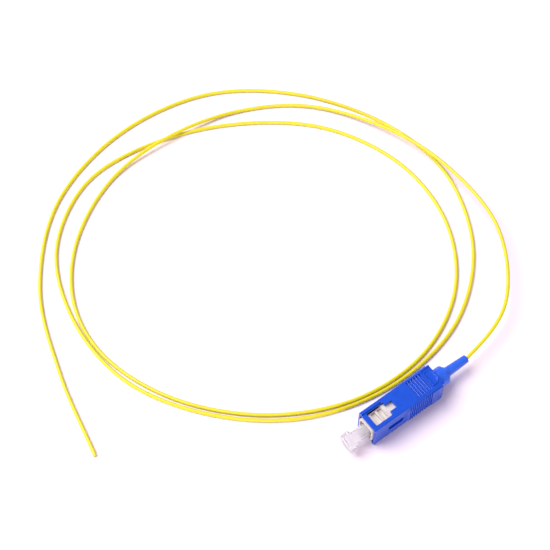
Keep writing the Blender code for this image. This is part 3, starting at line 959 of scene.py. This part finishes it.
def makeFrame(sizes):
    nose = block(
        "innerFrame",
        (sizes["front"], sizes["step"] + sizes["lap"]),
        across(sizes["noseHalfWidth"]),
        across(sizes["noseHalfHeight"]),
        sizes["corner"],
        "x",
        steps=6,
    )
    body = block(
        "frameBody",
        (sizes["step"], sizes["rear"]),
        across(sizes["bodyHalfWidth"]),
        across(sizes["bodyHalfHeight"]),
        sizes["corner"],
        "x",
        steps=6,
    )
    wide, floor = sizes["pocketHalf"], sizes["pocketFloor"]
    pocket = block(
        "pocket",
        sizes["pocket"],
        across(wide),
        (floor, sizes["noseHalfHeight"] + cutPast["face"]),
        sizes["pocketCorner"],
    )
    ridge = block(
        "ridge",
        sizes["ridge"],
        across(wide + sizes["ridgeOver"]),
        (floor - sizes["ridgeRoot"], sizes["ridgeTop"]),
        sizes["ridgeCorner"],
        "y",
    )
    front, rear = sizes["front"] - cutPast["end"], sizes["rear"] + cutPast["end"]
    shoulderStart, shoulderEnd = sizes["shoulder"]
    bore = [
        (front, 0.0),
        (front, sizes["noseBore"]),
        (shoulderStart, sizes["noseBore"]),
        (shoulderStart, sizes["shoulderBore"]),
        (shoulderEnd, sizes["shoulderBore"]),
        (shoulderEnd, sizes["rearBore"]),
        (rear, sizes["rearBore"]),
        (rear, 0.0),
    ]
    mouth = sizes["mouth"]
    depth = (sizes["front"] - mouth["out"], sizes["front"] + mouth["depth"])
    mouthBlock = block("mouth", depth, across(mouth["half"]), across(mouth["half"]), mouth["corner"], "x", steps=8)
    shoulderCut = block("shoulderCut", *sizes["shoulderCut"])
    steps = [
        ("UNION", body),
        *bothSides("DIFFERENCE", pocket, "z"),
        *bothSides("UNION", ridge, "z"),
        ("DIFFERENCE", lathe("bore", bore, steps=64)),
        ("DIFFERENCE", mouthBlock),
        *bothSides("DIFFERENCE", shoulderCut, "z"),
        *bothSides("DIFFERENCE", mirrored(shoulderCut, "y"), "z"),
    ]
    mesh = softened(carved(nose, steps), sizes["edge"])
    finished("innerFrame", mesh, "whitePlastic", "plug", ["plug_frame"])


makeFrame(frameSizes)
print("frame made")


# Ferrule with the fibre's core in its tip
ferruleSizes = {
    "front": -0.9,
    "back": 9.6,
    "radius": 1.25,
    "tipRadius": 0.9,
    "tipEdge": (0.03, 0.08),  # along the axis, and in radius
    "chamfer": 0.4,
    "chamferEdge": (0.06, 0.03),
    "backEdge": 0.1,
    "coreRadius": 0.0625,
    "core": (-0.01, 0.2),  # its ends, from the tip
}
platedNodes = ("ferrule_flange", "stop_ring")


def makeFerrule(sizes):
    front, back, radius = sizes["front"], sizes["back"], sizes["radius"]
    tip, coreRadius = sizes["tipRadius"], sizes["coreRadius"]
    tipLength, tipRise = sizes["tipEdge"]
    edgeLength, edgeRise = sizes["chamferEdge"]
    slopeEnd, backEdge = front + sizes["chamfer"], sizes["backEdge"]
    profile = [
        (front, 0.0),
        (front, coreRadius),
        (front, tip - tipRise),
        (front + tipLength, tip),
        (slopeEnd, radius - edgeRise),
        (slopeEnd + edgeLength, radius),
        (back - backEdge, radius),
        (back, radius - backEdge),
        (back, 0.0),
    ]
    body = lathe("ceramicFerrule", profile)
    finished("ceramicFerrule", body, "ceramic", "ferrule_assembly", ["ferrule"], sharp=24)
    start, end = (front + place for place in sizes["core"])
    core = lathe("fibreCore", [(start, 0.0), (start, coreRadius), (end, coreRadius), (end, 0.0)], steps=24)
    finished("fibreCore", core, "fibreGlass", "ferrule_assembly", sharp=40)


def plateMetal(nodes):
    # the flange and the stop ring keep their solids' shape and get a plated finish
    for node in nodes:
        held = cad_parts[node].data.materials
        held.clear()
        held.append(materials["nickel"])


makeFerrule(ferruleSizes)
plateMetal(platedNodes)
print("ferrule made")


# Spring round the flange's tube
springSizes = {"front": 10.5, "back": 14.2, "radius": 1.6, "wire": 0.16, "turns": 5.0, "travel": 1.0}


def makeSpring(sizes):
    start = sizes["front"] + sizes["wire"]
    values = {
        "Turns": sizes["turns"],
        "Radius": sizes["radius"],
        "Length": sizes["back"] - sizes["wire"] - start,
        "Start": start,
        "Wire": sizes["wire"],
        "Finish": materials["springSteel"],
    }
    coil = grown(bpy.data.meshes.new("springCoil"), coilTree, values)
    spring = finished("springCoil", coil, "springSteel", "plug", ["compression_spring"], sharp=60)
    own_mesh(spring)


makeSpring(springSizes)
print("spring made")


# Boot
bootSizes = {
    "front": 18.5,
    "frontEdge": 0.1,
    "bore": 2.15,
    "boreEnd": 27.7,
    "body": 2.55,
    "collar": (25.3, 28.6),
    "collarRadius": 2.85,
    "collarRound": 0.5,
    "collarEdge": 0.12,
    "neckEnd": 29.3,
    "neckRadius": 2.05,
    "neckRound": 0.35,
    "tailStart": 1.5,
    "tailEnd": 1.22,
    "fillet": 0.2,  # the hollow round between the neck and the tail
    "tip": 36.8,
    "tipRound": 0.15,
    "hole": 0.65,
}


def makeBoot(sizes):
    collarStart, collarEnd = sizes["collar"]
    neckEnd, tip = sizes["neckEnd"], sizes["tip"]
    collarArc = (collarEnd - sizes["collarRound"], sizes["collarRadius"] - sizes["collarRound"])
    neckArc = (neckEnd - sizes["neckRound"], sizes["neckRadius"] - sizes["neckRound"])
    tipArc = (tip - sizes["tipRound"], sizes["tailEnd"] - sizes["tipRound"])
    fillet, frontEdge, collarEdge = sizes["fillet"], sizes["frontEdge"], sizes["collarEdge"]
    profile = [
        (sizes["front"], sizes["bore"]),
        (sizes["front"], sizes["body"] - frontEdge),
        (sizes["front"] + frontEdge, sizes["body"]),
        (collarStart, sizes["body"]),
        (collarStart, sizes["collarRadius"] - collarEdge),
        (collarStart + collarEdge, sizes["collarRadius"]),
        *arc(collarArc, sizes["collarRound"], 90, 0),
        (collarEnd, sizes["neckRadius"]),
        *arc(neckArc, sizes["neckRound"], 90, 0),
        (neckEnd, sizes["tailStart"] + fillet),
        *arc((neckEnd + fillet, sizes["tailStart"] + fillet), fillet, 180, 270, steps=3),
        *arc(tipArc, sizes["tipRound"], 90, 0, steps=4),
        (tip, sizes["hole"]),
        (sizes["boreEnd"], sizes["hole"]),
        (sizes["boreEnd"], sizes["bore"]),
    ]
    boot = lathe("bootShell", profile)
    finished("bootShell", boot, "blueRubber", "plug", ["boot"], sharp=32)


makeBoot(bootSizes)
print("boot made")


# Dust cap
capSizes = {
    "front": -7.5,
    "frontDent": (0.7, 0.02),  # radius and depth
    "headBack": -5.0,
    "back": 4.5,
    "headRadius": 2.7,
    "headRound": 0.35,
    "headEdge": 0.12,
    "radius": 1.85,
    "fillet": 0.15,
    "rimEdge": 0.08,
    "bore": 1.45,
    "boreFront": -3.2,
    "boreEdge": 0.3,
}


def makeCap(sizes):
    front, headBack, back = sizes["front"], sizes["headBack"], sizes["back"]
    headRadius, headRound, headEdge = sizes["headRadius"], sizes["headRound"], sizes["headEdge"]
    radius, fillet, rim = sizes["radius"], sizes["fillet"], sizes["rimEdge"]
    bore, boreFront, boreEdge = sizes["bore"], sizes["boreFront"], sizes["boreEdge"]
    dentRadius, dent = sizes["frontDent"]
    profile = [
        (front, 0.0),
        (front + dent, dentRadius),
        *arc((front + headRound, headRadius - headRound), headRound, 180, 90),
        (headBack - headEdge, headRadius),
        (headBack, headRadius - headEdge),
        (headBack, radius + fillet),
        (headBack + fillet, radius),
        (back - rim, radius),
        (back, radius - rim),
        (back, bore + rim),
        (back - rim, bore),
        (boreFront + boreEdge, bore),
        (boreFront, bore - boreEdge),
        (boreFront, 0.0),
    ]
    cap = lathe("clearCap", profile)
    finished("clearCap", cap, "clearPlastic", "cap", ["dust_cap"], sharp=30)


makeCap(capSizes)
print("cap made")


# Floor and light
studio = {
    "floorSize": 3.0,
    "floorColor": (0.94, 0.85, 0.92),
    "floorRough": (0.85, 0.95),
    "floorGrain": 40.0,
    "worldColor": (1.0, 0.84, 1.0),
    "worldStrength": 0.37,
    "aim": (0.0, 0.05, 0.0),
    # name, place, size and power
    "lights": [
        ("overLight", (-0.37, 0.52, 1.00), 1.0, 18.0),
        ("frontLight", (-0.78, -0.92, 0.28), 0.45, 6.5),
    ],
}


def makeFloor(look):
    build = bmesh.new()
    bmesh.ops.create_grid(build, x_segments=1, y_segments=1, size=look["floorSize"])
    mesh = bpy.data.meshes.new("floor")
    build.to_mesh(mesh)
    build.free()
    floor = linked(mesh)
    material, tree, shader = newMaterial("floorPaper")
    place = addNode(tree, "ShaderNodeTexCoord", (-700, 0))
    noise = addNode(tree, "ShaderNodeTexNoise", (-500, 0))
    setInputs(noise, {"Scale": look["floorGrain"]})
    tone = addNode(tree, "ShaderNodeMapRange", (-300, 0))
    setInputs(tone, {"To Min": look["floorRough"][0], "To Max": look["floorRough"][1]})
    join(tree, place.outputs["Object"], noise.inputs["Vector"])
    join(tree, noise.outputs["Fac"], tone.inputs["Value"])
    join(tree, tone.outputs["Result"], shader.inputs["Roughness"])
    setInputs(shader, {"Base Color": (*look["floorColor"], 1.0), "Specular IOR Level": 0.1})
    mesh.materials.append(material)


def makeLight(look):
    world = bpy.data.worlds.new("studioWorld")
    world.use_nodes = True
    sky = world.node_tree.nodes["Background"]
    setInputs(sky, {"Color": (*look["worldColor"], 1.0), "Strength": look["worldStrength"]})
    scene.world = world
    aim = Vector(look["aim"])
    for name, place, size, power in look["lights"]:
        data = bpy.data.lights.new(name, "AREA")
        data.shape = "DISK"
        data.size = size
        data.energy = power
        lamp = bpy.data.objects.new(name, data)
        lamp.location = place
        lamp.rotation_euler = (aim - Vector(place)).to_track_quat("-Z", "Y").to_euler()
        scene.collection.objects.link(lamp)
    scene.view_settings.view_transform = "Standard"


makeFloor(studio)
makeLight(studio)
print("studio made")
